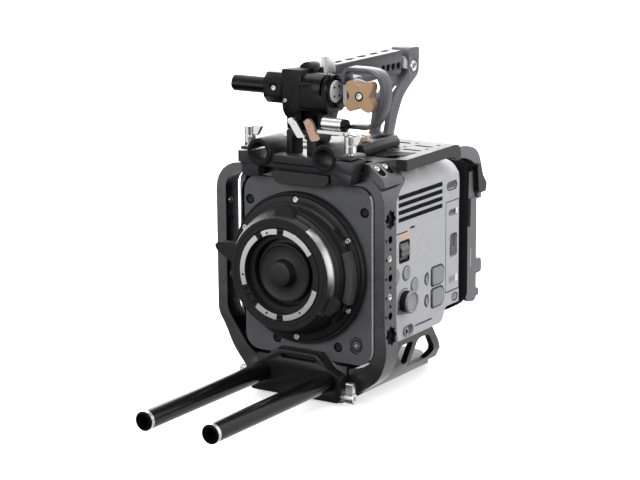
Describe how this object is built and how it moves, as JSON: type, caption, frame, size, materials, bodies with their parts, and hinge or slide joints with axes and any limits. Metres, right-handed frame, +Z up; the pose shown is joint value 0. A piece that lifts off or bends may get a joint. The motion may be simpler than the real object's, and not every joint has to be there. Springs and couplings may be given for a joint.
{
  "type": "cinema camera rig",
  "caption": "Box cinema camera in a half cage, with a capped lens mount, lens support rods, a top handle and a tilting monitor bracket.",
  "frame": {"origin": "on the base's underside, straight below the lens axis, in the plane of the front plate's face", "axes": "+Z up, -Y the way the lens looks, +X towards the camera's control side (the viewer's right from the front)"},
  "size_m": [0.1593, 0.3885, 0.2726],
  "materials": {
    "cage_black": "fine matt anodised black",
    "plate_grey": "satin dark grey anodised",
    "rod_black": "smooth satin black anodised",
    "handle_black": "matt anodised dark grey",
    "handle_grey": "satin anodised grey",
    "loop_grey": "satin anodised grey",
    "bracket_black": "satin black anodised",
    "mount_black": "satin black anodised",
    "steel": "fine brushed stainless steel",
    "gold": "bead-blasted gold anodised",
    "copper": "bead-blasted rose anodised",
    "panel_silver": "fine textured silver grey paint",
    "body_black": "fine textured black",
    "rear_grey": "fine textured warm grey",
    "button_grey": "satin grey",
    "dial_black": "satin black",
    "cap_black": "matt black",
    "grip_rubber": "ribbed black rubber",
    "filter_glass": "grey neutral-density glass",
    "circuit_green": "green circuit board",
    "sink_aluminium": "plain extruded"
  },
  "bodies": {
    "rig": {"base_plate": "cage_black", "rod_block": "cage_black", "cage_front": "cage_black", "cage_floor": "cage_black", "top_plate": "cage_black", "front_plate": "plate_grey", "chassis": "body_black", "right_panel": "panel_silver", "left_panel": "panel_silver", "top_cover": "panel_silver", "rear_frame": "body_black", "battery_bay": "body_black", "rear_hood": "rear_grey", "battery_plate": "rear_grey", "mount_flange": "mount_black", "grip_pad": "grip_rubber", "mount_tube": "mount_black", "lens_seat": "steel", "sensor_block": "plate_grey", "main_board": "circuit_green", "heat_sink": "sink_aluminium", "top_rod_bracket": "cage_black", "name_plate": "cage_black", "handle_front_leg": "cage_black", "handle_bar": "handle_black", "handle_rear_arm": "handle_grey", "handle_screw": "steel", "accessory_block": "cage_black", "bracket_body": "bracket_black", "rod_clamp": "bracket_black", "tension_cylinder": "steel"},
    "rod_left": {"rod_left": "rod_black"},
    "rod_right": {"rod_right": "rod_black"},
    "rod_lever_left": {"rod_lever_left": "steel"},
    "rod_lever_right": {"rod_lever_right": "steel"},
    "battery_release": {"battery_release": "body_black"},
    "media_door": {"media_door": "panel_silver"},
    "door_latch": {"door_latch": "button_grey"},
    "filter_thumbwheel": {"filter_thumbwheel": "dial_black"},
    "menu_dial": {"menu_dial": "dial_black"},
    "assign_button_upper": {"assign_button_upper": "button_grey"},
    "assign_button_lower": {"assign_button_lower": "button_grey"},
    "assign_button_front": {"assign_button_front": "button_grey"},
    "record_button": {"record_button": "button_grey"},
    "focus_button": {"focus_button": "button_grey"},
    "power_switch": {"power_switch": "button_grey"},
    "locking_ring": {"locking_ring": "mount_black"},
    "port_cap": {"port_cap": "cap_black"},
    "nd_filter": {"nd_filter": "filter_glass"},
    "cooling_fan": {"cooling_fan": "dial_black"},
    "clamp_knob_left": {"clamp_knob_left": "steel"},
    "clamp_knob_right": {"clamp_knob_right": "steel"},
    "accessory_lever": {"accessory_lever": "copper"},
    "monitor_rod": {"monitor_rod": "rod_black"},
    "barrel_lever": {"barrel_lever": "steel"},
    "star_knob": {"star_knob": "gold"},
    "tilt_lever_silver": {"tilt_lever_silver": "steel"},
    "tilt_lever_copper": {"tilt_lever_copper": "copper"},
    "tilt_head": {"guard_loop": "loop_grey", "end_disc": "steel"}
  },
  "joints": [
    {"name": "rod_left_slide", "type": "slide", "parent": "rig", "child": "rod_left", "axis": [0, -1, 0], "range_m": [-0.006, 0.03]},
    {"name": "rod_right_slide", "type": "slide", "parent": "rig", "child": "rod_right", "axis": [0, -1, 0], "range_m": [-0.006, 0.03]},
    {"name": "rod_lever_left_turn", "type": "hinge", "parent": "rig", "child": "rod_lever_left", "pos_m": [-0.048, -0.008, 0.0066], "axis": [1, 0, 0], "range_deg": [0, 100]},
    {"name": "rod_lever_right_turn", "type": "hinge", "parent": "rig", "child": "rod_lever_right", "pos_m": [0.048, -0.008, 0.0066], "axis": [1, 0, 0], "range_deg": [0, 100]},
    {"name": "battery_release_swing", "type": "hinge", "parent": "rig", "child": "battery_release", "pos_m": [0.0436, 0.206, 0.153], "axis": [1, 0, 0], "range_deg": [-15, 0], "stiffness_Nm_per_rad": 0.2},
    {"name": "media_door_swing", "type": "hinge", "parent": "rig", "child": "media_door", "pos_m": [0.0707, 0.1052, 0.1046], "axis": [0, 0, -1], "range_deg": [0, 105]},
    {"name": "door_latch_slide", "type": "slide", "parent": "media_door", "child": "door_latch", "axis": [0, 0, 1], "range_m": [0, 0.0096]},
    {"name": "filter_thumbwheel_spin", "type": "hinge", "parent": "rig", "child": "filter_thumbwheel", "pos_m": [0.0633, 0.0394, 0.1172], "axis": [0, 1, 0], "continuous": true},
    {"name": "menu_dial_spin", "type": "hinge", "parent": "rig", "child": "menu_dial", "pos_m": [0.074, 0.0396, 0.0772], "axis": [1, 0, 0], "continuous": true},
    {"name": "assign_button_upper_press", "type": "slide", "parent": "rig", "child": "assign_button_upper", "axis": [-1, 0, 0], "range_m": [0, 0.0008], "stiffness_N_per_m": 400, "springref_m": -0.0005},
    {"name": "assign_button_lower_press", "type": "slide", "parent": "rig", "child": "assign_button_lower", "axis": [-1, 0, 0], "range_m": [0, 0.0008], "stiffness_N_per_m": 400, "springref_m": -0.0005},
    {"name": "assign_button_front_press", "type": "slide", "parent": "rig", "child": "assign_button_front", "axis": [-1, 0, 0], "range_m": [0, 0.0008], "stiffness_N_per_m": 400, "springref_m": -0.0005},
    {"name": "record_button_press", "type": "slide", "parent": "rig", "child": "record_button", "axis": [-1, 0, 0], "range_m": [0, 0.0008], "stiffness_N_per_m": 400, "springref_m": -0.0005},
    {"name": "focus_button_press", "type": "slide", "parent": "rig", "child": "focus_button", "axis": [-1, 0, 0], "range_m": [0, 0.0008], "stiffness_N_per_m": 400, "springref_m": -0.0005},
    {"name": "power_switch_slide", "type": "slide", "parent": "rig", "child": "power_switch", "axis": [0, 1, 0], "range_m": [0, 0.007]},
    {"name": "locking_ring_turn", "type": "hinge", "parent": "rig", "child": "locking_ring", "pos_m": [0, -0.025, 0.1041], "axis": [0, 1, 0], "range_deg": [0, 45]},
    {"name": "port_cap_pull", "type": "slide", "parent": "rig", "child": "port_cap", "axis": [0, -1, 0], "range_m": [0, 0.03]},
    {"name": "nd_filter_slide", "type": "slide", "parent": "rig", "child": "nd_filter", "axis": [-1, 0, 0], "range_m": [0, 0.036]},
    {"name": "cooling_fan_spin", "type": "hinge", "parent": "rig", "child": "cooling_fan", "pos_m": [0, 0.097, 0.11], "axis": [0, 1, 0], "continuous": true},
    {"name": "clamp_knob_left_turn", "type": "hinge", "parent": "rig", "child": "clamp_knob_left", "pos_m": [-0.0426, -0.006, 0.205], "axis": [0, 0, 1], "range_deg": [-80, 80]},
    {"name": "clamp_knob_right_turn", "type": "hinge", "parent": "rig", "child": "clamp_knob_right", "pos_m": [0.0495, -0.006, 0.205], "axis": [0, 0, 1], "range_deg": [-80, 80]},
    {"name": "accessory_lever_turn", "type": "hinge", "parent": "rig", "child": "accessory_lever", "pos_m": [0.0305, 0.046, 0.202], "axis": [0, 0, 1], "range_deg": [-60, 60]},
    {"name": "monitor_rod_slide", "type": "slide", "parent": "rig", "child": "monitor_rod", "axis": [-1, 0, 0], "range_m": [0, 0.012]},
    {"name": "barrel_lever_turn", "type": "hinge", "parent": "rig", "child": "barrel_lever", "pos_m": [0.0255, 0.0002, 0.262], "axis": [0, 0, 1], "range_deg": [-60, 60]},
    {"name": "tilt_head_tilt", "type": "hinge", "parent": "rig", "child": "tilt_head", "pos_m": [0.03, 0.007, 0.244], "axis": [1, 0, 0], "range_deg": [0, 60]},
    {"name": "star_knob_spin", "type": "hinge", "parent": "tilt_head", "child": "star_knob", "pos_m": [0.0593, 0, 0.2445], "axis": [0, 1, 0], "continuous": true},
    {"name": "tilt_lever_silver_turn", "type": "hinge", "parent": "rig", "child": "tilt_lever_silver", "pos_m": [-0.0022, -0.0075, 0.2205], "axis": [0, 1, 0], "range_deg": [0, 55]},
    {"name": "tilt_lever_copper_turn", "type": "hinge", "parent": "rig", "child": "tilt_lever_copper", "pos_m": [0.0128, -0.0075, 0.2205], "axis": [0, 1, 0], "range_deg": [0, 20]}
  ]
}
